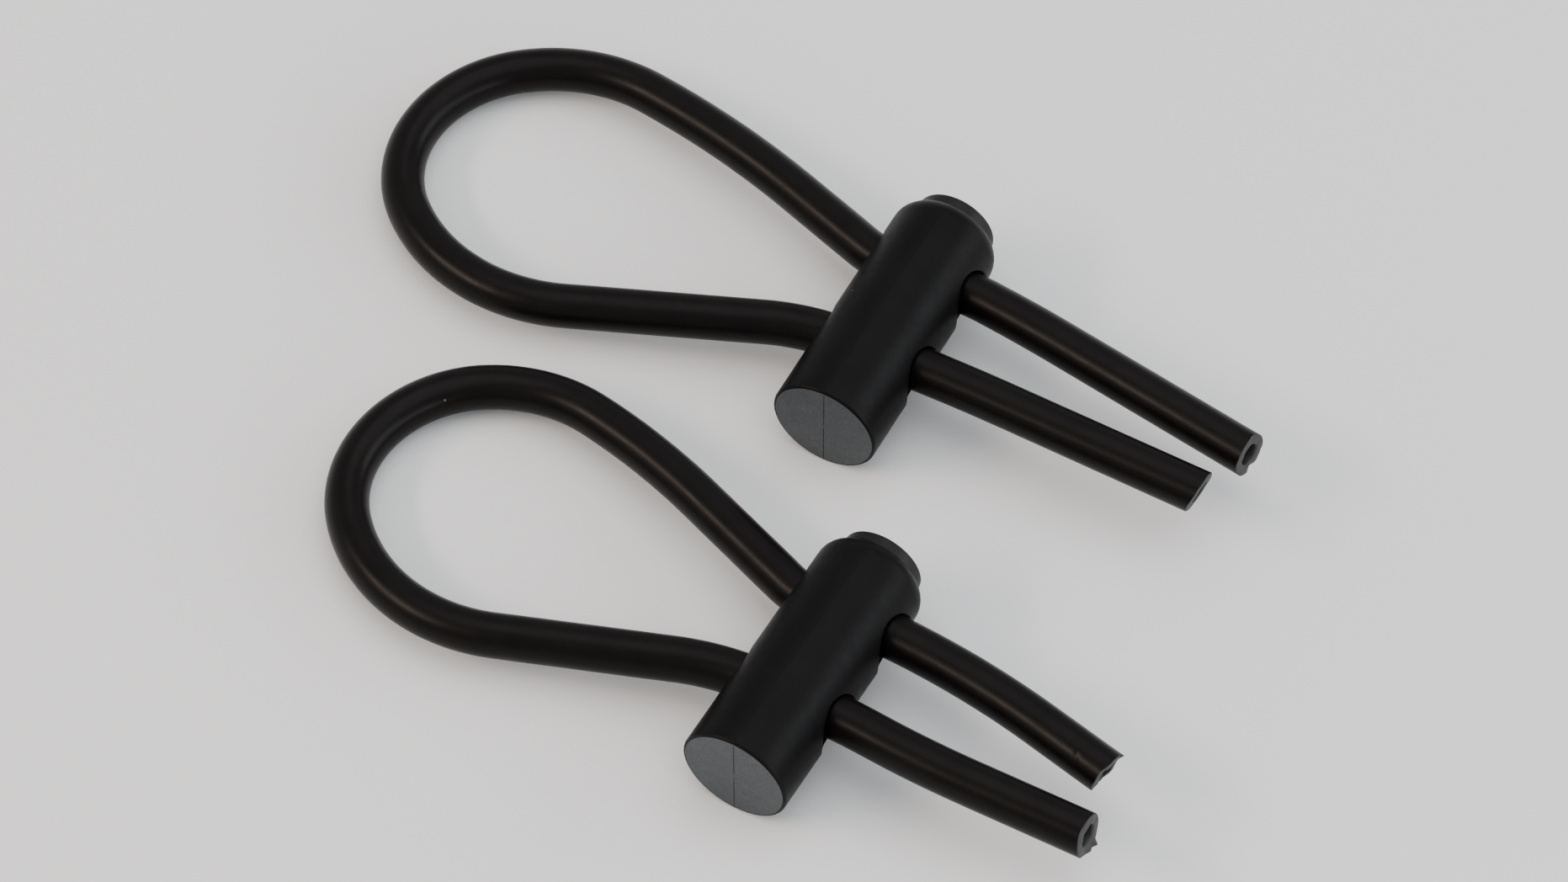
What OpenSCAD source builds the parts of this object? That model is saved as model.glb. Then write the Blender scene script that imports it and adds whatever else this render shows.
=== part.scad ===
// A pair of adjustable loops. Each is one length of rubber tube, bent to a teardrop and gripped by a
// two-hole toggle: a barrel, a sprung plunger whose own holes pinch the tube, and a coil spring.
// Millimetres, +Z up, the pair lying on z = 0. Toggle a's barrel lies along Y, with the loops towards
// -X and the cut tube ends towards +X.

/* [Tube] */
// Outside diameter of the rubber tube
tube_d = 6; // [5.8:0.1:6.2]
// Diameter of the tube's bore
bore_d = 3; // [2:0.5:4]
// Depth of the true round bore at each cut end
end_bore_depth = 10; // [6:1:11]

/* [Barrel] */
// Outside diameter of the toggle's barrel
barrel_d = 15; // [14.6:0.1:15.6]
// Length of the barrel without its button
barrel_len = 36.6; // [36:0.1:38]
// Radius of the round shoulder around the barrel's mouth
shoulder_r = 3; // [2.5:0.1:3.5]
// Edge radius of the flat closed end
foot_r = 0.4; // [0.2:0.1:1]
// Thickness of the closed end
floor_t = 2; // [1.5:0.1:3]
// Diameter of the bore that the plunger slides in
well_d = 11.8; // [11.6:0.1:12]
// Diameter of the tube holes through the barrel and the plunger
hole_d = 8.3; // [8.2:0.1:8.6]
// Distance from the closed end to the first hole's centre
first_hole = 13.5; // [13:0.1:14]
// Distance between the two holes' centres
hole_pitch = 14.2; // [13.8:0.1:14.6]
// How far the holes' axes lie below the barrel's axis
hole_drop = 0.45; // [0:0.05:0.5]

/* [Plunger and spring] */
// Outside diameter of the plunger
plunger_d = 11.3; // [11:0.1:11.4]
// How far the button stands past the barrel's length when it grips
button_rise = 1.5; // [1:0.1:2]
// Edge radius of the button
button_edge = 0.5; // [0.3:0.1:1]
// How far the plunger is pushed in to line its holes up with the barrel's
press = 1.5; // [1.3:0.1:1.6]
// Depth of the pocket in the plunger's foot that holds the spring
pocket_depth = 2; // [1:0.1:2.5]
// Wire diameter of the spring
wire_d = 0.7; // [0.5:0.1:0.8]
// Mean diameter of the spring's coils
coil_d = 7.6; // [7:0.1:8]
// Number of coils
coils = 4; // [3:1:5]

/* [Layout of the pair] */
// Place of toggle b's closed end, from toggle a's, along X
b_along = 15.4; // [12:0.1:20]
// Place of toggle b's closed end, from toggle a's, along Y
b_across = -53.2; // [-60:0.1:-52]
// Turn of toggle b about the vertical, in degrees
b_turn = -2.1; // [-3:0.1:3]

/* [Hidden] */
$fn = 64;
sliver = 0.01;
barrel_r = barrel_d / 2;
tube_r = tube_d / 2;
hole_r = hole_d / 2;
well_r = well_d / 2;
plunger_r = plunger_d / 2;
arc_steps = 8;
edge_steps = 4;
// Sides of a tube's rings, and how far apart they are round a bend
sides = 12;
ring_step = 2.7;
// Wall between the spring's pocket and the plunger's first hole, and play round the spring in its pocket
pocket_wall = 1.6;
pocket_play = 0.3;
// Turns of the spring that lie flat at each end, as a pair of closed coils
closed_turns = 0.75;
wire_sides = 6;
wire_rings = 20;
// Where the tube lies in the barrel: how far the plunger pushes it off the holes' centres, how far its
// plane passes below the barrel's axis, and how far it runs straight each way from the middle
pinch = 0.65;
tube_drop = 0.25;
grip = 4.2;
// The swept bore's radius as a share of the true bore's, so that the true one cuts it clean at the ends
swept_bore = 0.97;
// Puts the middle of the pair's outline over the origin
pair_centre = [8.49, 4.81, 0];

// Each route is a bending table: [length, turn in degrees], a left turn positive. A loop's route runs from
// the barrel's upper hole round to its lower one, and the two straight legs are solved so that it closes.
// A tail's route runs from the barrel out to the cut end, and ends straight.
loop_a = [[5.5, -20], [27, 11], [19, 45], [32, 102], [29, 62], 11.5];
loop_b = [[5.5, -21], [20, 11], [16, 41], [31, 101], [29, 67], 12];
tail_a_upper = [[6, -8], [12, -3], [30.3, 0]];
tail_a_lower = [[6, -1.5], [10, -2], [28.6, 0]];
tail_b_upper = [[6, -4], [20, -9], [11.3, 0]];
tail_b_lower = [[8, -5], [14, 5], [17.2, 0]];

lower_y = first_hole + pinch;
upper_y = lower_y + hole_pitch;

// A place on a route is [x, y, heading]. This is the place at the end of one bend
function bend_end(s, b) = b[1] == 0
    ? [s[0] + b[0] * cos(s[2]), s[1] + b[0] * sin(s[2]), s[2]]
    : let (r = b[0] / b[1] * 180 / PI)
      [s[0] + r * (sin(s[2] + b[1]) - sin(s[2])), s[1] - r * (cos(s[2] + b[1]) - cos(s[2])), s[2] + b[1]];
function route_end(s, bends, i = 0) =
    i == len(bends) ? s : route_end(bend_end(s, bends[i]), bends, i + 1);

// The places along a route: one at the end of each straight, and one every ring_step round a bend
function places(s, bends, i = 0) =
    i == len(bends) ? [] : let (b = bends[i], n = b[1] == 0 ? 1 : ceil(b[0] / ring_step))
        concat([for (k = [1:1:n]) bend_end(s, b * k / n)], places(bend_end(s, b), bends, i + 1));

// The whole loop, its two legs solved from where the bends alone would end
function closed_loop(table) =
    let (
        mid = [for (i = [1:1:4]) table[i]],
        turned = table[0][1] + mid[0][1] + mid[1][1] + mid[2][1] + mid[3][1],
        last = [table[5], 180 - turned],
        open = route_end([-grip, upper_y, 180], concat([table[0]], mid, [last])),
        gap = [-grip - open[0], lower_y - open[1]],
        h1 = 180 + table[0][1],
        h2 = 180 + turned,
        det = cos(h1) * sin(h2) - cos(h2) * sin(h1),
        leg1 = (gap[0] * sin(h2) - gap[1] * cos(h2)) / det,
        leg2 = (gap[1] * cos(h1) - gap[0] * sin(h1)) / det
    )
    concat([table[0], [leg1, 0]], mid, [[leg2, 0], last]);

// A tube's route from the upper cut end to the lower one, and the place where it starts
function backwards(bends) = [for (i = [len(bends) - 1:-1:0]) [bends[i][0], -bends[i][1]]];
function tube_route(table, upper, lower) =
    concat(backwards(upper), [[2 * grip, 0]], closed_loop(table), [[2 * grip, 0]], lower);
function tube_start(upper) = let (s = route_end([grip, upper_y, 0], upper)) [s[0], s[1], s[2] + 180];

// The slope at which the tails rise, because the loop's far end rests on the ground
function reach(table) =
    -min([for (s = places([-grip, upper_y, 180], closed_loop(table))) s[0]]);
function tails_rise(table) = asin((barrel_r - tube_drop - tube_r) / reach(table));

// Everything inside is drawn with the barrel's closed end at the origin and its axis along Y
module at_a() translate(pair_centre) translate([0, 0, barrel_r]) children();
module at_b()
    translate(pair_centre) translate([b_along, b_across, barrel_r]) rotate([0, 0, b_turn]) children();

// A round bore into a cut end, from which the route starts
module end_bore(s) {
    translate([s[0], s[1], 0]) rotate([0, 0, s[2]])
        translate([-sliver, 0, 0]) rotate([0, 90, 0]) cylinder(d = bore_d, h = end_bore_depth + sliver);
}

// One tube, swept as an outer and an inner skin, in a plane that leans on the loop's far end
module tube(table, upper, lower) {
    start = tube_start(upper);
    path = concat([start], places(start, tube_route(table, upper, lower)));
    rings = len(path);
    last = path[rings - 1];
    radii = [tube_r, swept_bore * bore_d / 2];
    points = [
        for (r = radii, s = path, k = [0:1:sides - 1])
            let (a = 360 * k / sides)
            [s[0] - r * cos(a) * sin(s[2]), s[1] + r * cos(a) * cos(s[2]), r * sin(a)]
    ];
    skin = rings * sides;
    walls = [
        for (i = [0:1:rings - 2], k = [0:1:sides - 1])
            let (n = (k + 1) % sides, a = i * sides, b = a + sides)
            each [[a + k, b + k, b + n, a + n], [skin + a + n, skin + b + n, skin + b + k, skin + a + k]]
    ];
    caps = [
        for (k = [0:1:sides - 1])
            let (n = (k + 1) % sides, e = skin - sides)
            each [[k, n, skin + n, skin + k], [e + n, e + k, skin + e + k, skin + e + n]]
    ];
    color([0.07, 0.07, 0.075])
        translate([0, 0, -tube_drop]) rotate([0, -tails_rise(table), 0])
            difference() {
                polyhedron(points, concat(walls, caps));
                end_bore(start);
                end_bore([last[0], last[1], last[2] + 180]);
            }
}

// Lays a piece drawn along Z down along Y, so that its own +Y points to the ground
module lay_down() rotate([-90, 0, 0]) children();

module tube_holes() {
    for (z = [first_hole, first_hole + hole_pitch])
        translate([-barrel_d, hole_drop, z]) rotate([0, 90, 0]) cylinder(r = hole_r, h = 2 * barrel_d);
}

module barrel() {
    rim_angle = acos((well_r - barrel_r + shoulder_r) / shoulder_r);
    shoulder = [for (i = [0:1:arc_steps]) let (a = rim_angle * (1 - i / arc_steps))
        [barrel_r - shoulder_r + shoulder_r * cos(a), barrel_len - shoulder_r + shoulder_r * sin(a)]];
    foot = [for (i = [0:1:edge_steps]) let (a = -90 * i / edge_steps)
        [barrel_r - foot_r + foot_r * cos(a), foot_r + foot_r * sin(a)]];
    color([0.09, 0.09, 0.1])
        lay_down() difference() {
            rotate_extrude() polygon(concat([[0, floor_t], [well_r, floor_t]], shoulder, foot, [[0, 0]]));
            tube_holes();
        }
}

// Where the spring bears on the plunger, and the radius of its pocket there
seat = first_hole + press - hole_r - pocket_wall;
pocket_r = (coil_d + wire_d) / 2 + pocket_play;

module plunger() {
    foot = seat - pocket_depth;
    top = barrel_len + button_rise;
    edge = [for (i = [0:1:edge_steps]) let (a = 90 * (1 - i / edge_steps))
        [plunger_r - button_edge + button_edge * cos(a), top - button_edge + button_edge * sin(a)]];
    color([0.08, 0.08, 0.085])
        lay_down() difference() {
            rotate_extrude() polygon(concat([[0, top]], edge, [[plunger_r, foot], [0, foot]]));
            translate([0, 0, press]) tube_holes();
            translate([0, 0, foot - sliver]) cylinder(r = pocket_r, h = pocket_depth + sliver);
        }
}

module spring() {
    span = seat - floor_t - wire_d - 2 * sliver;
    steps = coils * wire_rings;
    // The wire rises only between its closed end coils
    function rise(t) = span * min(1, max(0, (t * coils - closed_turns) / (coils - 2 * closed_turns)));
    points = [
        for (i = [0:1:steps], k = [0:1:wire_sides - 1])
            let (a = 360 * i / wire_rings, b = 360 * k / wire_sides, r = coil_d / 2 + wire_d / 2 * cos(b))
            [r * cos(a), r * sin(a), floor_t + sliver + wire_d / 2 * (1 + sin(b)) + rise(i / steps)]
    ];
    walls = [
        for (i = [0:1:steps - 1], k = [0:1:wire_sides - 1])
            let (n = (k + 1) % wire_sides)
            [i * wire_sides + k, (i + 1) * wire_sides + k, (i + 1) * wire_sides + n, i * wire_sides + n]
    ];
    caps = [[for (k = [0:1:wire_sides - 1]) k], [for (k = [wire_sides - 1:-1:0]) steps * wire_sides + k]];
    color([0.7, 0.7, 0.72]) lay_down() polyhedron(points, concat(walls, caps));
}

module loop_a_tube() at_a() tube(loop_a, tail_a_upper, tail_a_lower);
module toggle_a_barrel() at_a() barrel();
module toggle_a_plunger() at_a() plunger();
module toggle_a_spring() at_a() spring();
module loop_b_tube() at_b() tube(loop_b, tail_b_upper, tail_b_lower);
module toggle_b_barrel() at_b() barrel();
module toggle_b_plunger() at_b() plunger();
module toggle_b_spring() at_b() spring();

loop_a_tube();
toggle_a_barrel();
toggle_a_plunger();
toggle_a_spring();
loop_b_tube();
toggle_b_barrel();
toggle_b_plunger();
toggle_b_spring();
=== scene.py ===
import math

import bmesh
import bpy
import numpy as np
from mathutils import Matrix, Vector, noise


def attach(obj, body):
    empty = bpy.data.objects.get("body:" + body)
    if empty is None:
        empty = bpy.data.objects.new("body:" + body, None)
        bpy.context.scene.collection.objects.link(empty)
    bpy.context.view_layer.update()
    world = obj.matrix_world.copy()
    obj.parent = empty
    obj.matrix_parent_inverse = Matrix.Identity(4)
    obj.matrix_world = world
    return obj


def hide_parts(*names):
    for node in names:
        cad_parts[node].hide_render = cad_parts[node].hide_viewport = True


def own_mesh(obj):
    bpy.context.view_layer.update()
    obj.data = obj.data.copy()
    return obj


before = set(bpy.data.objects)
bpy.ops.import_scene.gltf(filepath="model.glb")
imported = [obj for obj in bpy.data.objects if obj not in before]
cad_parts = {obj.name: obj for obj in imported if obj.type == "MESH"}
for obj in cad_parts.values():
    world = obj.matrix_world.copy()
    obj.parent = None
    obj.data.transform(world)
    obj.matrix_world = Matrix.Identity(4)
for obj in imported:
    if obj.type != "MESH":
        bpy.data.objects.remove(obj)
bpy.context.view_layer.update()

MM = 0.001

# ---------------------------------------------------------------- the design's sizes, as the CAD has them
TUBE_R = 3.0
BORE_R = 1.5
BARREL_R = 7.5
BARREL_LEN = 36.6
SHOULDER_R = 3.0
FOOT_R = 0.4
FLOOR = 2.0
WELL_R = 5.9
HOLE_R = 4.15
FIRST_HOLE = 13.5
HOLE_PITCH = 14.2
HOLE_DROP = 0.45
PLUNGER_R = 5.65
BUTTON_RISE = 1.5
BUTTON_EDGE = 0.5
PRESS = 1.5
WEB = 1.6
POCKET_DEPTH = 2.0
WIRE_D = 0.7
COIL_D = 7.6
POCKET_PLAY = 0.3
COILS = 4
CLOSED_TURNS = 0.75
PINCH = 0.65
TUBE_DROP = 0.25
GRIP = 4.2
PAIR_CENTRE = (8.49, 4.81)

LOWER_Y = FIRST_HOLE + PINCH
UPPER_Y = LOWER_Y + HOLE_PITCH
SEAT = FIRST_HOLE + PRESS - HOLE_R - WEB

# Each route is the CAD's bending table: (length, turn in degrees). A loop's last number is the length of its
# last bend, whose turn is worked out. A cut end is (lean, its direction round the tube in degrees, how wavy
# it is, its burrs as (direction, width in degrees, height)). A crease in the tube is (distance from the upper
# cut end, direction and width in degrees, depth, skew).
LOOPS = {
    "a": {
        "place": (0.0, 0.0), "turn": 0.0, "seed": 1.3,
        "loop": [(5.5, -20), (27, 11), (19, 45), (32, 102), (29, 62), 11.5],
        "upper": [(6, -8), (12, -3), (30.3, 0)],
        "lower": [(6, -1.5), (10, -2), (28.6, 0)],
        "upper_cut": (0.10, 215, 0.06, [(218, 16, 0.15), (275, 13, -0.40), (60, 30, -0.12)]),
        "lower_cut": (0.85, 83, 0.05, [(300, 40, 0.12)]),
        "creases": [],
    },
    "b": {
        "place": (15.4, -53.2), "turn": -2.1, "seed": 4.1,
        "loop": [(5.5, -21), (20, 11), (16, 41), (31, 101), (29, 67), 12],
        "upper": [(6, -4), (20, -9), (11.3, 0)],
        "lower": [(8, -5), (14, 5), (17.2, 0)],
        "upper_cut": (1.0, 100, 0.16, [(28, 8, 0.7)]),
        "lower_cut": (0.15, 200, 0.06, [(290, 9, 0.75), (268, 11, 0.42), (120, 50, -0.2)]),
        "creases": [(3.5, 48, 22, 0.06, 0.4)],
    },
}


# ---------------------------------------------------------------- routes
def bend_end(state, bend):
    """The place (x, y, heading) at the end of one bend or straight."""
    x, y, heading = state
    length, turn = bend
    a, b = math.radians(heading), math.radians(heading + turn)
    if turn == 0:
        return (x + length * math.cos(a), y + length * math.sin(a), heading)
    r = length / math.radians(turn)
    return (x + r * (math.sin(b) - math.sin(a)), y - r * (math.cos(b) - math.cos(a)), heading + turn)


def route_end(state, bends):
    """The place at the end of a row of bends."""
    for bend in bends:
        state = bend_end(state, bend)
    return state


def closed_loop(table):
    """The loop's bends with its two straight legs solved, so that it ends in line with the lower hole."""
    first, mid, last_length = table[0], table[1:5], table[5]
    turned = first[1] + sum(turn for _, turn in mid)
    last = (last_length, 180 - turned)
    x, y, _ = route_end((-GRIP, UPPER_Y, 180), [first] + mid + [last])
    gap = Vector((-GRIP - x, LOWER_Y - y))
    h1, h2 = math.radians(180 + first[1]), math.radians(180 + turned)
    det = math.cos(h1) * math.sin(h2) - math.cos(h2) * math.sin(h1)
    leg1 = (gap.x * math.sin(h2) - gap.y * math.cos(h2)) / det
    leg2 = (gap.y * math.cos(h1) - gap.x * math.sin(h1)) / det
    return [first, (leg1, 0)] + mid + [(leg2, 0), last]


def tube_route(side):
    """Where the tube starts, at the upper cut end, and all its bends to the lower cut end."""
    through = [(2 * GRIP, 0)]
    back = [(length, -turn) for length, turn in reversed(side["upper"])]
    x, y, heading = route_end((GRIP, UPPER_Y, 0), side["upper"])
    return (x, y, heading + 180), back + through + closed_loop(side["loop"]) + through + side["lower"]


def places(state, bends, step, end_step=None):
    """[(distance, x, y, heading)] along a route, about every step, and every end_step in its end bends."""
    found, run = [(0.0, *state)], 0.0
    for i, (length, turn) in enumerate(bends):
        at_end = end_step and i in (0, len(bends) - 1)
        n = max(1, math.ceil(length / (end_step if at_end else step)))
        for k in range(1, n + 1):
            found.append((run + length * k / n, *bend_end(state, (length * k / n, turn * k / n))))
        state = bend_end(state, (length, turn))
        run += length
    return np.array(found)


# ---------------------------------------------------------------- frames of the pieces
def toggle_matrix(side):
    """From a frame with the closed end's centre at the origin and the barrel along Y, to the row's frame."""
    x, y = side["place"]
    spot = Matrix.Translation((x + PAIR_CENTRE[0], y + PAIR_CENTRE[1], BARREL_R))
    return spot @ Matrix.Rotation(math.radians(side["turn"]), 4, "Z")


def plane_matrix(side):
    """The tube's plane leans, because the loop's far end rests on the ground."""
    loop = places((-GRIP, UPPER_Y, 180), closed_loop(side["loop"]), 2.7)
    rise = math.asin((BARREL_R - TUBE_DROP - TUBE_R) / -loop[:, 1].min())
    drop = Matrix.Translation((0, 0, -TUBE_DROP))
    return toggle_matrix(side) @ drop @ Matrix.Rotation(-rise, 4, "Y")


def barrel_matrix(side):
    """From a frame with the barrel along Z, its holes along X and the ground towards +Y."""
    return toggle_matrix(side) @ Matrix.Rotation(math.radians(-90), 4, "X")


# ---------------------------------------------------------------- mesh making
# Metres: points nearer than WELD are joined, and edges under TOO_SHORT are taken out
WELD = 2e-6
TOO_SHORT = 1e-7


class Shape:
    """Points and faces in millimetres, welded into one closed mesh at the end."""

    def __init__(self):
        self.points, self.faces, self.marks = [], [], []

    def grid(self, rows, around=False, mark=0):
        """Quads over equal rows of points. around joins each row's end to its start."""
        rows = [np.asarray(r, float) for r in rows]
        base, n = len(self.points), len(rows[0])
        for r in rows:
            self.points.extend(r)
        for i in range(len(rows) - 1):
            for k in range(n if around else n - 1):
                a, b = base + i * n, base + (i + 1) * n
                m = (k + 1) % n
                self.faces.append((a + k, b + k, b + m, a + m))
                self.marks.append(mark)

    def disc(self, ring, centre, mark=0):
        """A fan from one closed ring to a centre point."""
        base, n = len(self.points), len(ring)
        self.points.extend(np.asarray(ring, float))
        self.points.append(np.asarray(centre, float))
        for k in range(n):
            self.faces.append((base + k, base + (k + 1) % n, base + n))
            self.marks.append(mark)

    def build(self, name, matrix, materials, sharp_deg=40):
        """The finished piece, moved by the matrix and shaded smooth except at edges past sharp_deg."""
        mesh = bpy.data.meshes.new(name)
        points = np.asarray(self.points) @ np.array(matrix.to_3x3()).T + np.array(matrix.translation)
        mesh.from_pydata((points * MM).tolist(), [], self.faces)
        mesh.polygons.foreach_set("material_index", self.marks)
        work = bmesh.new()
        work.from_mesh(mesh)
        bmesh.ops.remove_doubles(work, verts=work.verts, dist=WELD)
        bmesh.ops.dissolve_degenerate(work, edges=work.edges, dist=TOO_SHORT)
        bmesh.ops.recalc_face_normals(work, faces=work.faces)
        work.to_mesh(mesh)
        work.free()
        mesh.shade_smooth()
        mesh.set_sharp_from_angle(angle=math.radians(sharp_deg))
        for material in materials:
            mesh.materials.append(material)
        piece = bpy.data.objects.new(name, mesh)
        bpy.context.scene.collection.objects.link(piece)
        return piece


# ---------------------------------------------------------------- rubber tube
TUBE_SIDES = 72
TUBE_ANGLES = np.linspace(0, 2 * math.pi, TUBE_SIDES, endpoint=False)
# Distances between rings along the tube, and how far from a cut end the rings slide to meet it
OUTER_STEP = 0.7
END_STEP = 0.25
INNER_STEP = 2.0
END_BLEND = 4.0
CORD_STEP = 1.5
# How much a bend flattens the tube, for each radian per millimetre, averaged over some rings
OUTER_OVAL = 0.28
BORE_OVAL = 0.3
OVAL_RINGS = 9
# The tube's width wanders by a fraction of its radius, slowly along its length
WANDER = 0.002
WANDER_SCALE = 0.09
CREASE_HALF = 0.3
# A cut end: where its lean crosses the square cut, its finer waves, its edges and the blade's marks
LEAN_ZERO = 0.35
FINE_WAVE = 0.4
BURR_SHARPNESS = 1.5
LIP_ROUND = 0.12
LIP_SET_BACK = 0.05
LIP_TURNS = (0.5, 1.5)
LIP_RINGS = 3
FACE_RADII = (TUBE_R - 0.25, BORE_R + 0.12)
FACE_RINGS = 9
BORE_DIP = 0.18
BORE_DIP_WIDTH = 0.4
BORE_SET_BACK = 0.3
BLADE_DRAG = 0.05
BLADE_GRAIN = 0.02


def cut_height(cut, angle, radius, seed):
    """How far a hand-cut end stands past a square one, at each direction round the tube."""
    lean, towards, wavy, burrs = cut
    deg = np.degrees(angle)
    height = lean * radius / TUBE_R * (np.cos(np.radians(deg - towards)) - LEAN_ZERO)
    height += wavy * radius / TUBE_R * np.sin(3 * angle + seed)
    height += FINE_WAVE * wavy * np.sin(7 * angle + 2 * seed)
    outer = np.clip((radius - BORE_R) / (TUBE_R - BORE_R), 0, 1)
    for direction, width, burr in burrs:
        off = (deg - direction + 180) % 360 - 180
        height += burr * outer ** BURR_SHARPNESS * np.exp(-((off / width) ** 2))
    return height


def knife_marks(x, y, z, seed):
    """The fine drag lines that a blade leaves across cut rubber."""
    streak = noise.noise(Vector((x * 0.5 + seed, y * 2.6, z * 0.7)))
    grain = noise.noise(Vector((x * 3, y * 7, z * 3 + seed)))
    return BLADE_DRAG * streak + BLADE_GRAIN * grain


def ring_at(x, y, heading, radius, ahead=0.0):
    """Points round the tube at one place. Angle 0 is to the left of the heading, and 90 degrees is up."""
    h = math.radians(heading)
    out = np.cos(TUBE_ANGLES) * radius
    return np.stack([
        x - out * math.sin(h) + ahead * math.cos(h),
        y + out * math.cos(h) + ahead * math.sin(h),
        np.sin(TUBE_ANGLES) * radius,
    ], 1)


def tube_skin(shape, route, step, radius, cuts, oval, mark, creases=()):
    """One skin along the whole route. Near the ends its rings slide to meet the cuts."""
    start, bends = route
    spots = places(start, bends, step, END_STEP if creases else None)
    total = spots[-1, 0]
    rows = []
    curl = np.abs(np.gradient(np.radians(spots[:, 3]), spots[:, 0]))
    bent = np.convolve(curl, np.ones(OVAL_RINGS) / OVAL_RINGS, "same")
    for i, (run, x, y, heading) in enumerate(spots):
        ahead = np.zeros(TUBE_SIDES)
        near, far = max(0.0, 1 - run / END_BLEND), max(0.0, 1 - (total - run) / END_BLEND)
        if near:
            ahead = ahead - near ** 2 * cuts[0]
        if far:
            ahead = ahead + far ** 2 * cuts[1]
        squash = 1 - oval * bent[i] * np.cos(TUBE_ANGLES) ** 2
        wander = 1 - WANDER + WANDER * noise.noise(Vector((run * WANDER_SCALE, radius, start[0])))
        dent = np.zeros(TUBE_SIDES)
        for at, direction, width, depth, skew in creases:
            off = (np.degrees(TUBE_ANGLES) - direction + 180) % 360 - 180
            along = (run - at - skew * off / width) / CREASE_HALF
            dent -= depth * np.exp(-along ** 2 - (off / width) ** 2)
        rows.append(ring_at(x, y, heading, radius * squash * wander + dent, ahead))
    shape.grid(rows, around=True, mark=mark)
    return rows


def cut_face(shape, row_out, row_in, cut, state, end, seed):
    """The ring of cut rubber between the outer skin's last ring and the bore's."""
    x, y, heading = state
    rows = [row_out]
    radii = np.concatenate([
        TUBE_R - LIP_ROUND * (1 - np.cos(np.linspace(*LIP_TURNS, LIP_RINGS))),
        np.linspace(*FACE_RADII, FACE_RINGS),
    ])
    own = TUBE_ANGLES if end > 0 else math.pi - TUBE_ANGLES
    for radius in radii:
        height = cut_height(cut, own, radius, seed)
        round_in = max(0.0, radius - (TUBE_R - LIP_ROUND)) / LIP_ROUND
        height = height + LIP_ROUND * (1 - round_in ** 2) - LIP_SET_BACK
        height = height - BORE_DIP * max(0.0, 1 - (radius - BORE_R) / BORE_DIP_WIDTH) ** 2
        marks = np.array([
            knife_marks(radius * math.cos(a), radius * math.sin(a), 0, seed) for a in TUBE_ANGLES
        ])
        rows.append(ring_at(x, y, heading, radius, end * (height + marks)))
    rows.append(row_in)
    shape.grid(rows, around=True, mark=1)


def make_tube(key, side, materials):
    """One loop's rubber tube: its outer skin, its bore and its two cut faces."""
    shape = Shape()
    route = tube_route(side)
    start, bends = route
    finish = route_end(start, bends)
    seed = side["seed"]
    # A cut is described looking along its own tail, and the upper tail is walked backwards
    flipped = math.pi - TUBE_ANGLES
    outer_cuts = (cut_height(side["upper_cut"], flipped, TUBE_R, seed),
                  cut_height(side["lower_cut"], TUBE_ANGLES, TUBE_R, seed))
    inner_cuts = (cut_height(side["upper_cut"], flipped, BORE_R, seed) - BORE_SET_BACK,
                  cut_height(side["lower_cut"], TUBE_ANGLES, BORE_R, seed) - BORE_SET_BACK)
    outer = tube_skin(shape, route, OUTER_STEP, TUBE_R, outer_cuts, OUTER_OVAL, 0, side["creases"])
    inner = tube_skin(shape, route, INNER_STEP, BORE_R, inner_cuts, BORE_OVAL, 2)
    cut_face(shape, outer[0], inner[0], side["upper_cut"], start, -1, seed)
    cut_face(shape, outer[-1], inner[-1], side["lower_cut"], finish, 1, seed)
    piece = shape.build(f"loop_{key}_rubber_tube", plane_matrix(side), materials, sharp_deg=50)
    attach(piece, f"loop_{key}")
    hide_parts(f"loop_{key}_tube")
    line = places(start, bends, CORD_STEP)
    path = [(plane_matrix(side) @ Vector((x, y, 0))) * MM for _, x, y, _ in line]


# ---------------------------------------------------------------- drilled cylinders: barrel and plunger
# Each hole sits in a square patch of the wall, PATCH_DEG to each side of it
PATCH_DEG = 60.0
PATCH_CELLS = 16
BETWEEN_CELLS = 10
RING_STEPS = 7
RING_CROWDING = 1.3
BARREL_PATCH_LOW = 7.4
BARREL_PATCH_GAP = 0.2
PLUNGER_PATCH_HALF = 5.4
TUNNEL_RINGS = 7
# Rounded edges, and rings that only keep the faces of a long wall short
BARREL_HOLE_ROUND = 0.2
PLUNGER_HOLE_ROUND = 0.15
RIM_WIDTH = 0.5
RIM_ROUND = 0.12
WELL_CORNER_R = 0.4
WELL_RING = 4.5
WALL_RINGS = (5, 2.5)
PLUNGER_FOOT_R = 0.3
STEM_RING = 1.6
# The button's slight dish, as (radius, depth)
DISH = [(PLUNGER_R - BUTTON_EDGE - 0.6, 0.02), (3.2, 0.1), (1.2, 0.13)]
# The mould's parting line: a seam up the barrel's sides and a groove across its closed end
SEAM_DEG = 90
SEAM_HALF_DEG = 1.1
SEAM_HEIGHT = 0.012
GROOVE_HALF = 0.07
GROOVE_DEPTH = 0.11
# The closed end's rings, as parts of its radius, inside one ring END_RING_GAP from its edge
END_RINGS = (0.75, 0.5, 0.25, 0.1)
END_RING_GAP = 0.25
SPRING_LIFT = 0.01
WIRE_SIDES = 16
RINGS_PER_COIL = 56


def wall_angles():
    """The directions round the barrel that every ring has a point at, in degrees. Holes are at 0 and 180,
    and three close columns midway between them carry the mould's seam."""
    hole = np.linspace(-PATCH_DEG, PATCH_DEG, PATCH_CELLS + 1)
    before = np.linspace(PATCH_DEG, SEAM_DEG - SEAM_HALF_DEG, BETWEEN_CELLS // 2)[1:]
    after = np.linspace(SEAM_DEG + SEAM_HALF_DEG, 180 - PATCH_DEG, BETWEEN_CELLS // 2)[:-1]
    close = SEAM_DEG + np.array([-0.5, 0, 0.5]) * SEAM_HALF_DEG
    turn = np.concatenate([hole, before, close, after])
    return np.concatenate([turn, turn + 180])


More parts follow.
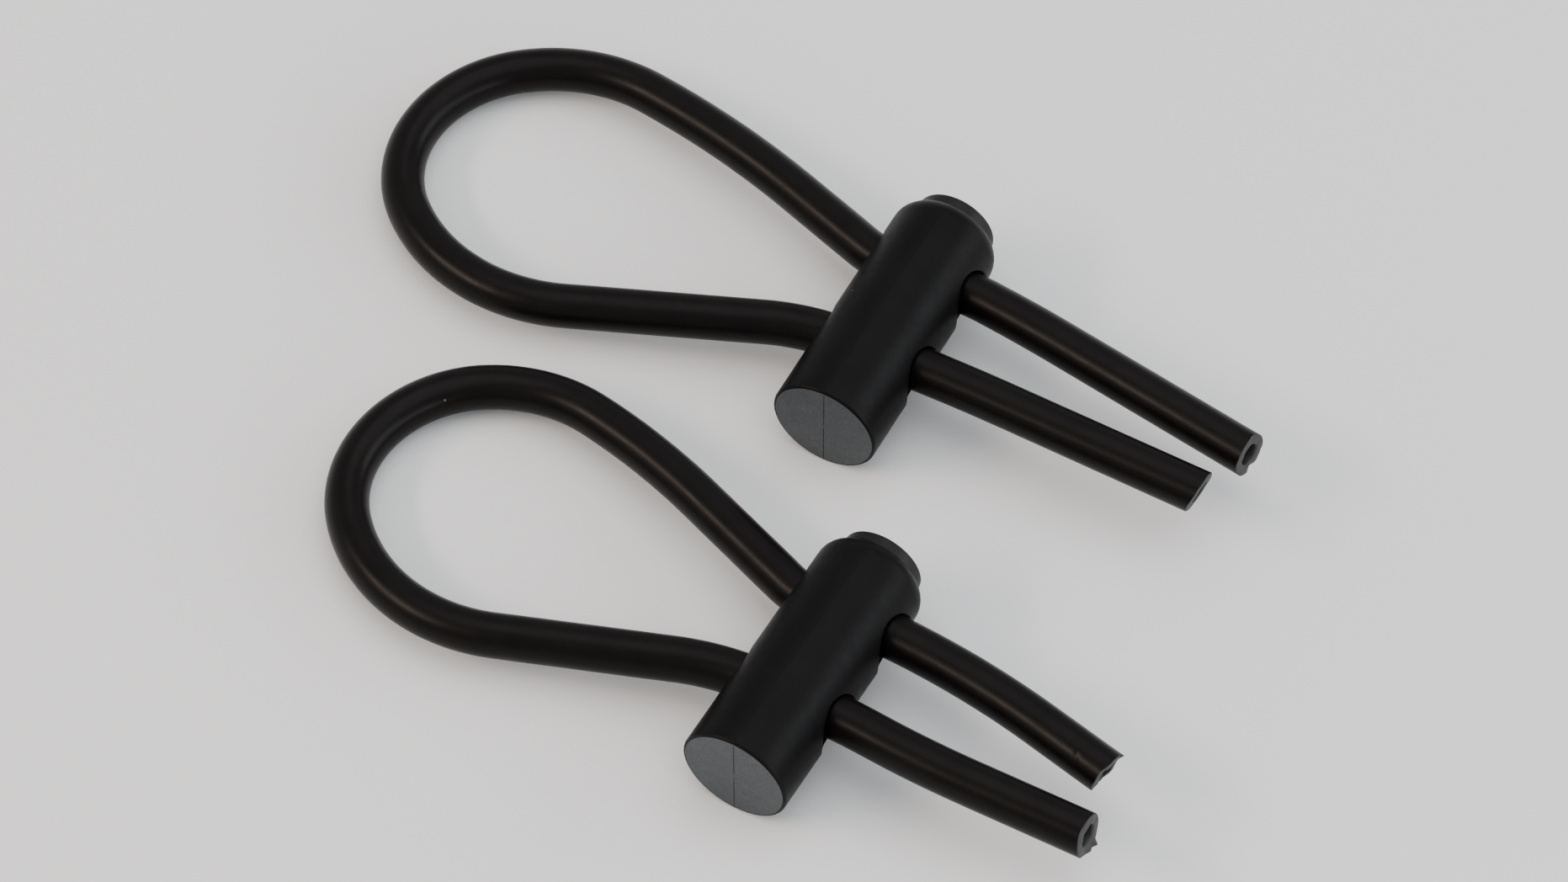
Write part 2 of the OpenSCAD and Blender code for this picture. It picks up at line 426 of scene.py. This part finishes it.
ANGLES = wall_angles()
RING = np.radians(ANGLES)
OFF_SEAM = (ANGLES - SEAM_DEG + 90) % 180 - 90
AT_SEAM = np.isclose(OFF_SEAM, 0)
BETWEEN = [i for i, a in enumerate(ANGLES) if PATCH_DEG <= a <= 180 - PATCH_DEG]
BETWEEN_TOO = [i for i, a in enumerate(ANGLES) if 180 + PATCH_DEG <= a] + [0]


def ring(radius, z, seam=0.0):
    """Points round the barrel at one height, standing out by seam at the mould's parting line."""
    r = radius + seam * AT_SEAM
    return np.stack([r * np.cos(RING), r * np.sin(RING), np.full(len(RING), z)], 1)


def on_wall(radius, across, z, sign):
    """Points on the cylinder's +X or -X side, across being measured from the barrel's axis."""
    depth = np.sqrt(np.maximum(radius ** 2 - across ** 2, 0))
    return np.stack([sign * depth, sign * across, z], 1)


def square_loop(radius, centre, low, high):
    """Directions, crosswise places and heights of the patch's edge points, walked round once."""
    t = np.linspace(-PATCH_DEG, PATCH_DEG, PATCH_CELLS + 1)
    z = np.linspace(low, high, PATCH_CELLS + 1)
    edge = [(a, low) for a in t[:-1]] + [(t[-1], v) for v in z[:-1]]
    edge += [(a, high) for a in t[:0:-1]] + [(t[0], v) for v in z[:0:-1]]
    edge = np.array(edge)
    way = np.arctan2(edge[:, 1] - centre, radius * np.radians(edge[:, 0]))
    return np.radians(edge[:, 0]), edge[:, 1], way


def hole_patch(shape, radius, centre, low, high, sign, edge_round):
    """The skin round one hole, from the patch's square edge to the hole. Returns the hole's own ring."""
    theta, z, way = square_loop(radius, centre, low, high)
    start = HOLE_R + edge_round
    shift = sign * HOLE_DROP
    inner_theta = np.arcsin((shift + start * np.cos(way)) / radius)
    inner_z = centre + start * np.sin(way)
    rows = []
    for t in np.linspace(1, 0, RING_STEPS + 1) ** RING_CROWDING:
        a, h = inner_theta + (theta - inner_theta) * t, inner_z + (z - inner_z) * t
        rows.append(np.stack([sign * radius * np.cos(a), sign * radius * np.sin(a), h], 1))
    if edge_round:
        outside = rows[-1]
        corner = on_wall(radius, shift + HOLE_R * np.cos(way), centre + HOLE_R * np.sin(way), sign)
        inside = corner - np.array([sign * edge_round, 0, 0])
        for t in (0.25, 0.5, 0.75, 1.0):
            rows.append((1 - t) ** 2 * outside + 2 * t * (1 - t) * corner + t * t * inside)
    shape.grid(rows, around=True)
    return rows[-1]


def drilled_wall(shape, radius, levels, centres, edge_round, seam=0.0):
    """A cylinder's skin between levels[0] and levels[-1], with a hole each side in every patch."""
    mouths = {}
    for low, high, centre in zip(levels, levels[1:], centres):
        heights = np.linspace(low, high, PATCH_CELLS + 1)
        for group in (BETWEEN, BETWEEN_TOO):
            shape.grid([ring(radius, h, seam)[group] for h in heights])
        for sign in (1, -1):
            mouths[(sign, centre)] = hole_patch(shape, radius, centre, low, high, sign, edge_round)
    return mouths


def arc(cx, cz, r, a0, a1, n):
    """Points (radius, height) along a round edge, from angle a0 to a1."""
    return [(cx + r * math.cos(math.radians(a)), cz + r * math.sin(math.radians(a)))
            for a in np.linspace(a0, a1, n)]


def spin(shape, profile, seam=0.0):
    """The skin that a profile of (radius, height) sweeps round the barrel's axis."""
    shape.grid([ring(r, z, seam) for r, z in profile], around=True)


def make_barrel(key, side, materials):
    """The toggle's barrel: both walls, the cross-holes, the shoulder with its mouth, and the closed end."""
    shape = Shape()
    middle = (2 * FIRST_HOLE + HOLE_PITCH) / 2
    levels = [BARREL_PATCH_LOW, middle, BARREL_LEN - SHOULDER_R - BARREL_PATCH_GAP]
    centres = [FIRST_HOLE, FIRST_HOLE + HOLE_PITCH]
    shoulder_x, shoulder_z = BARREL_R - SHOULDER_R, BARREL_LEN - SHOULDER_R
    rim_out = WELL_R + RIM_WIDTH
    rim_deg = math.degrees(math.acos((rim_out - shoulder_x) / SHOULDER_R))
    rim_z = shoulder_z + SHOULDER_R * math.sin(math.radians(rim_deg))
    outer = drilled_wall(shape, BARREL_R, levels, centres, BARREL_HOLE_ROUND, SEAM_HEIGHT)
    inner = drilled_wall(shape, WELL_R, levels, centres, 0.0)
    for where, row in outer.items():
        # The tunnel walls take mark 2, a warm paler colour that is painted bounce light in the holes' shade
        shape.grid([row, row + (inner[where] - row) * 0.5, inner[where]], around=True, mark=2)
    # The shoulder, the narrow rim round the mouth and down into the well
    shoulder = arc(shoulder_x, shoulder_z, SHOULDER_R, 0, rim_deg, 14)
    spin(shape, [(BARREL_R, levels[-1])] + shoulder, SEAM_HEIGHT)
    rim = [(rim_out, rim_z)] + arc(rim_out - RIM_ROUND, rim_z, RIM_ROUND, 40, 90, 4)
    lip = arc(WELL_R + RIM_ROUND, rim_z, RIM_ROUND, 90, 180, 5)
    shape.grid([ring(*p, SEAM_HEIGHT) for p in rim] + [ring(*p) for p in lip], around=True)
    spin(shape, [(WELL_R, rim_z), (WELL_R, (rim_z + levels[-1]) / 2), (WELL_R, levels[-1])])
    corner = arc(WELL_R - WELL_CORNER_R, FLOOR + WELL_CORNER_R, WELL_CORNER_R, 0, -90, 5)
    spin(shape, [(WELL_R, levels[0]), (WELL_R, WELL_RING)] + corner)
    shape.disc(ring(WELL_R - WELL_CORNER_R, FLOOR), (0, 0, FLOOR))
    # The outer wall below the holes, the round foot edge and the closed end
    foot = arc(BARREL_R - FOOT_R, FOOT_R, FOOT_R, 0, -90, 8)
    wall = [(BARREL_R, height) for height in (levels[0], *WALL_RINGS)]
    spin(shape, wall + foot, SEAM_HEIGHT)
    closed_end(shape)
    piece = shape.build(f"toggle_{key}_barrel_shell", barrel_matrix(side), materials)
    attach(piece, f"toggle_{key}")
    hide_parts(f"toggle_{key}_barrel")


def closed_end(shape):
    """The flat end, with the fine groove of the mould's parting line across it."""
    rim = BARREL_R - FOOT_R
    near = np.abs(OFF_SEAM)
    rows = [ring(rim, 0, SEAM_HEIGHT)]
    for radius in (rim - END_RING_GAP, *(rim * part for part in END_RINGS)):
        # Columns beside the seam keep their distance from it, so that the groove has an even width
        half = math.degrees(math.asin(min(1, 2 * GROOVE_HALF / radius)))
        beyond = half + (near - SEAM_HALF_DEG) * (90 - half) / (90 - SEAM_HALF_DEG)
        turned = np.where(near <= SEAM_HALF_DEG + 0.01, near / SEAM_HALF_DEG * half, beyond)
        way = np.radians(ANGLES - OFF_SEAM + np.sign(OFF_SEAM) * turned)
        rows.append(np.stack([radius * np.cos(way), radius * np.sin(way), GROOVE_DEPTH * AT_SEAM], 1))
    # Mark 1 gives the flat end its paler, bluish colour, a painted reflection of the pale floor on the same
    # black plastic
    shape.grid(rows, around=True, mark=1)
    shape.disc(rows[-1], (0, 0, 0), mark=1)


def make_plunger(key, side, materials):
    """The plunger: the button, the shank with its two tunnels, and the spring's pocket in its foot."""
    shape = Shape()
    foot = SEAT - POCKET_DEPTH
    top = BARREL_LEN + BUTTON_RISE
    centres = [FIRST_HOLE + PRESS, FIRST_HOLE + PRESS + HOLE_PITCH]
    middle = (centres[0] + centres[1]) / 2
    levels = [centres[0] - PLUNGER_PATCH_HALF, middle, centres[1] + PLUNGER_PATCH_HALF]
    pocket_r = (COIL_D + WIRE_D) / 2 + POCKET_PLAY
    mouths = drilled_wall(shape, PLUNGER_R, levels, centres, PLUNGER_HOLE_ROUND)
    for centre in centres:
        # The tunnel between the two mouths; the far one runs the other way round
        near, far = mouths[(1, centre)], mouths[(-1, centre)]
        match = [int(np.argmin(np.hypot(far[:, 1] - p[1], far[:, 2] - p[2]))) for p in near]
        tunnel = [near + (far[match] - near) * t for t in np.linspace(0, 1, TUNNEL_RINGS)]
        shape.grid(tunnel, around=True)
    edge = arc(PLUNGER_R - BUTTON_EDGE, top - BUTTON_EDGE, BUTTON_EDGE, 0, 90, 9)
    dish = [(radius, top - depth) for radius, depth in DISH]
    spin(shape, [(PLUNGER_R, levels[-1]), (PLUNGER_R, top - STEM_RING)] + edge + dish)
    shape.disc(ring(*dish[-1]), (0, 0, dish[-1][1]))
    foot_edge = arc(PLUNGER_R - PLUNGER_FOOT_R, foot + PLUNGER_FOOT_R, PLUNGER_FOOT_R, 0, -90, 5)
    pocket = [(pocket_r, foot), (pocket_r, foot + POCKET_DEPTH)]
    spin(shape, [(PLUNGER_R, levels[0])] + foot_edge + pocket)
    shape.disc(ring(pocket_r, foot + POCKET_DEPTH), (0, 0, foot + POCKET_DEPTH))
    piece = shape.build(f"toggle_{key}_push_button", barrel_matrix(side), materials)
    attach(piece, f"button_{key}")
    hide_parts(f"toggle_{key}_plunger")


def make_spring(key, side, materials):
    """A coil spring with closed ends, between the barrel's floor and the plunger's seat, at one fixed length.
    """
    shape = Shape()
    span = SEAT - FLOOR - WIRE_D - 2 * SPRING_LIFT
    b = np.linspace(0, 2 * math.pi, WIRE_SIDES, endpoint=False)
    r = COIL_D / 2 + WIRE_D / 2 * np.cos(b)
    rows = []
    for i in range(COILS * RINGS_PER_COIL + 1):
        t = i / (COILS * RINGS_PER_COIL)
        rise = span * min(1.0, max(0.0, (t * COILS - CLOSED_TURNS) / (COILS - 2 * CLOSED_TURNS)))
        a = 2 * math.pi * i / RINGS_PER_COIL
        z = FLOOR + SPRING_LIFT + WIRE_D / 2 * (1 + np.sin(b)) + rise
        rows.append(np.stack([r * math.cos(a), r * math.sin(a), z], 1))
    shape.grid(rows, around=True)
    shape.disc(rows[0], rows[0].mean(0))
    shape.disc(rows[-1], rows[-1].mean(0))
    matrix = barrel_matrix(side)
    piece = shape.build(f"toggle_{key}_coil_spring", matrix, materials)
    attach(piece, f"toggle_{key}")
    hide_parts(f"toggle_{key}_spring")
    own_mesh(piece)


# ---------------------------------------------------------------- materials
def new_material(name):
    """An empty material, with its node tree and its shader."""
    material = bpy.data.materials.new(name)
    material.use_nodes = True
    tree = material.node_tree
    return material, tree, tree.nodes["Principled BSDF"]


def node(tree, kind, inputs=(), **settings):
    """One node, with its input values by name or number and its own settings."""
    made = tree.nodes.new(kind)
    for key, value in settings.items():
        setattr(made, key, value)
    for key, value in dict(inputs).items():
        made.inputs[key].default_value = value
    return made


def noise_of(tree, scale, detail=3.0, roughness=0.6, stretch=None):
    """A noise texture on the piece's own coordinates, stretch scaling them first."""
    coords = tree.nodes.new("ShaderNodeTexCoord")
    texture = node(tree, "ShaderNodeTexNoise", {"Scale": scale, "Detail": detail, "Roughness": roughness})
    if stretch:
        mapping = node(tree, "ShaderNodeMapping", {"Scale": stretch})
        tree.links.new(coords.outputs["Object"], mapping.inputs["Vector"])
        tree.links.new(mapping.outputs["Vector"], texture.inputs["Vector"])
    else:
        tree.links.new(coords.outputs["Object"], texture.inputs["Vector"])
    return texture.outputs["Fac"]


def ramp(tree, source, stops):
    """Colours between stops of (place, colour)."""
    made = tree.nodes.new("ShaderNodeValToRGB")
    elements = made.color_ramp.elements
    while len(elements) < len(stops):
        elements.new(0.5)
    for element, (place, colour) in zip(elements, stops):
        element.position = place
        element.color = (*colour, 1)
    tree.links.new(source, made.inputs["Fac"])
    return made.outputs["Color"]


def spread(tree, source, low, high):
    """Stretches the middle of a noise over low to high."""
    made = node(tree, "ShaderNodeMapRange", {"From Min": 0.3, "From Max": 0.7, "To Min": low, "To Max": high})
    tree.links.new(source, made.inputs["Value"])
    return made.outputs["Result"]


SPECKLESS = 0.93


def specks(tree, scale, size, colour, under):
    """Tiny pale specks of dust over the colour under them, in all but the SPECKLESS share of the cells."""
    coords = tree.nodes.new("ShaderNodeTexCoord")
    cells = node(tree, "ShaderNodeTexVoronoi", {"Scale": scale, "Randomness": 1.0})
    tree.links.new(coords.outputs["Object"], cells.inputs["Vector"])
    chosen = node(tree, "ShaderNodeSeparateColor")
    tree.links.new(cells.outputs["Color"], chosen.inputs["Color"])
    rare = node(tree, "ShaderNodeMath", {1: SPECKLESS}, operation="GREATER_THAN")
    tree.links.new(chosen.outputs["Red"], rare.inputs[0])
    small = node(tree, "ShaderNodeMath", {1: size}, operation="LESS_THAN")
    tree.links.new(cells.outputs["Distance"], small.inputs[0])
    both = node(tree, "ShaderNodeMath", operation="MULTIPLY")
    tree.links.new(rare.outputs[0], both.inputs[0])
    tree.links.new(small.outputs[0], both.inputs[1])
    mix = node(tree, "ShaderNodeMix", data_type="RGBA")
    tree.links.new(both.outputs[0], mix.inputs["Factor"])
    tree.links.new(under, mix.inputs["A"])
    mix.inputs["B"].default_value = (*colour, 1)
    return mix.outputs["Result"]


def bump(tree, shader, heights):
    """Chains bumps, each (height output, strength, distance in metres)."""
    normal = None
    for height, strength, distance in heights:
        made = node(tree, "ShaderNodeBump", {"Strength": strength, "Distance": distance})
        tree.links.new(height, made.inputs["Height"])
        if normal:
            tree.links.new(normal, made.inputs["Normal"])
        normal = made.outputs["Normal"]
    tree.links.new(normal, shader.inputs["Normal"])


def rubber_material():
    """The tube's outside: smooth extruded rubber with a soft sheen and a little dust."""
    material, tree, shader = new_material("black_rubber")
    mottle = noise_of(tree, 220, 4)
    colour = ramp(tree, mottle, [(0.3, (0.0026, 0.0019, 0.0016)), (0.7, (0.0042, 0.0032, 0.0028))])
    tree.links.new(specks(tree, 420, 0.07, (0.10, 0.097, 0.09), colour), shader.inputs["Base Color"])
    tree.links.new(spread(tree, noise_of(tree, 350, 3), 0.30, 0.37), shader.inputs["Roughness"])
    shader.inputs["Specular IOR Level"].default_value = 0.10
    bump(tree, shader, [(noise_of(tree, 90, 2), 0.25, 0.0002), (noise_of(tree, 2600, 2), 0.2, 0.00003)])
    return material


def cut_rubber_material():
    """The knife's cut across the tube, paler than the skin and streaked."""
    material, tree, shader = new_material("cut_rubber")
    drag = noise_of(tree, 500, 3, stretch=(1, 5, 1))
    colour = ramp(tree, drag, [(0.3, (0.0055, 0.0053, 0.0052)), (0.7, (0.0165, 0.0160, 0.0158))])
    tree.links.new(colour, shader.inputs["Base Color"])
    tree.links.new(spread(tree, drag, 0.5, 0.7), shader.inputs["Roughness"])
    bump(tree, shader, [(drag, 0.5, 0.0001), (noise_of(tree, 3200, 3), 0.3, 0.00004)])
    return material


def bore_material():
    """The inside of the tube."""
    material, tree, shader = new_material("bore_rubber")
    mottle = noise_of(tree, 300, 3)
    colour = ramp(tree, mottle, [(0.3, (0.0075, 0.0062, 0.0056)), (0.7, (0.012, 0.0102, 0.0092))])
    tree.links.new(colour, shader.inputs["Base Color"])
    tree.links.new(spread(tree, mottle, 0.5, 0.65), shader.inputs["Roughness"])
    bump(tree, shader, [(mottle, 0.3, 0.0001)])
    return material


def plastic_material(name, dark, pale, rough, gloss, grain=160):
    """Moulded plastic with a fine spark-textured skin."""
    material, tree, shader = new_material(name)
    colour = ramp(tree, noise_of(tree, grain, 4), [(0.3, dark), (0.7, pale)])
    tree.links.new(specks(tree, 300, 0.05, (0.09, 0.09, 0.087), colour), shader.inputs["Base Color"])
    roughness = spread(tree, noise_of(tree, 700, 3), rough - 0.04, rough + 0.05)
    tree.links.new(roughness, shader.inputs["Roughness"])
    shader.inputs["Specular IOR Level"].default_value = gloss
    bump(tree, shader, [
        (noise_of(tree, 2200, 2, 0.5), 0.35, 0.00004),
        (noise_of(tree, 60, 2), 0.15, 0.0002),
    ])
    return material


def steel_material():
    """Bright drawn spring wire."""
    material, tree, shader = new_material("spring_wire")
    drawn = noise_of(tree, 900, 4)
    colour = ramp(tree, drawn, [(0.3, (0.42, 0.42, 0.43)), (0.7, (0.60, 0.60, 0.61))])
    tree.links.new(colour, shader.inputs["Base Color"])
    tree.links.new(spread(tree, drawn, 0.25, 0.38), shader.inputs["Roughness"])
    shader.inputs["Metallic"].default_value = 1.0
    bump(tree, shader, [(drawn, 0.15, 0.00005)])
    return material


# ---------------------------------------------------------------- camera, floor and light
# The camera fitted to the photograph: its aim and distance in object millimetres, angles in degrees
AIM = (2.46, 5.16, 0.0)
AZIMUTH = 28.08
ELEVATION = 54.08
DISTANCE = 838.0
LENS = 146.2
SENSOR = 36
FLOOR_HALF = 3.0
SKY = (0.94, 0.97, 1.0, 1)
SKY_STRENGTH = 0.72
COOL = (0.95, 0.98, 1.0)
WARM = (1.0, 0.80, 0.66)
# Area lights: name, place, aim and size in metres, watts, colour
LIGHTS = [
    ("overhead", (0.10, 0.25, 1.35), (0, 0, 0), (1.5, 1.5), 11.0, (1, 1, 1)),
    ("strip", (-0.70, -0.56, 0.64), (0, 0, 0), (0.62, 0.13), 6.6, WARM),
    ("right", (0.86, 0.53, 0.42), (0, 0, 0.01), (0.9, 0.45), 5.0, COOL),
    ("low", (0.80, -0.20, 0.22), (0.02, -0.01, 0), (0.6, 0.25), 2.6, COOL),
]


def make_camera():
    """The camera, where the photograph was taken from."""
    a, e = math.radians(AZIMUTH), math.radians(ELEVATION)
    back = Vector((math.sin(a) * math.cos(e), -math.cos(a) * math.cos(e), math.sin(e)))
    camera = bpy.data.objects.new("camera", bpy.data.cameras.new("camera"))
    camera.data.lens = LENS
    camera.data.sensor_width = SENSOR
    camera.data.clip_start = 0.05
    camera.location = (Vector(AIM) + back * DISTANCE) * MM
    camera.rotation_mode = "QUATERNION"
    camera.rotation_quaternion = (-back).to_track_quat("-Z", "Y")
    bpy.context.scene.collection.objects.link(camera)
    bpy.context.scene.camera = camera


def area_light(name, place, aim, size, power, colour):
    """A rectangular light that faces its aim."""
    light = bpy.data.lights.new(name, "AREA")
    light.shape = "RECTANGLE"
    light.size, light.size_y = size
    light.energy = power
    light.color = colour
    lamp = bpy.data.objects.new(name, light)
    lamp.location = place
    lamp.rotation_mode = "QUATERNION"
    lamp.rotation_quaternion = (Vector(aim) - Vector(place)).to_track_quat("-Z", "Y")
    bpy.context.scene.collection.objects.link(lamp)


def make_stage():
    """The pale floor, the sky and the lights."""
    half = FLOOR_HALF
    mesh = bpy.data.meshes.new("floor")
    corners = [(-half, -half, 0), (half, -half, 0), (half, half, 0), (-half, half, 0)]
    mesh.from_pydata(corners, [], [(0, 1, 2, 3)])
    material, tree, shader = new_material("pale_floor")
    shade = ramp(tree, noise_of(tree, 3, 2), [(0.3, (0.80, 0.80, 0.80)), (0.7, (0.83, 0.83, 0.83))])
    tree.links.new(shade, shader.inputs["Base Color"])
    shader.inputs["Roughness"].default_value = 0.85
    mesh.materials.append(material)
    floor = bpy.data.objects.new("floor", mesh)
    bpy.context.scene.collection.objects.link(floor)
    world = bpy.data.worlds.new("studio")
    world.use_nodes = True
    background = world.node_tree.nodes["Background"]
    background.inputs["Color"].default_value = SKY
    background.inputs["Strength"].default_value = SKY_STRENGTH
    bpy.context.scene.world = world
    for light in LIGHTS:
        area_light(*light)


# ---------------------------------------------------------------- the pair
make_camera()
make_stage()
tube_materials = [rubber_material(), cut_rubber_material(), bore_material()]
barrel_plastic = plastic_material(
    "barrel_plastic", dark=(0.0022, 0.0021, 0.0023), pale=(0.0036, 0.0034, 0.0037), rough=0.42, gloss=0.085)
# The closed end's paler, bluish colour is a painted reflection of the pale floor, not a different plastic
face_painted_reflection = plastic_material(
    "end_face_plastic", dark=(0.019, 0.023, 0.026), pale=(0.044, 0.051, 0.056), rough=0.55, gloss=0.5,
    grain=3600)
# The hole walls' warm reddish, paler colour is painted bounce light in their shade, on the barrel's black
# plastic
hole_painted_bounce_light = plastic_material(
    "hole_painted_bounce_light", dark=(0.022, 0.009, 0.007), pale=(0.030, 0.013, 0.010), rough=0.50, gloss=0.20)
button_plastic = plastic_material(
    "button_plastic", dark=(0.0046, 0.0040, 0.0037), pale=(0.0072, 0.0064, 0.0060), rough=0.44, gloss=0.20)
spring_steel = steel_material()
for key, side in LOOPS.items():
    make_tube(key, side, tube_materials)
    make_barrel(key, side, [barrel_plastic, face_painted_reflection, hole_painted_bounce_light])
    make_plunger(key, side, [button_plastic])
    make_spring(key, side, [spring_steel])
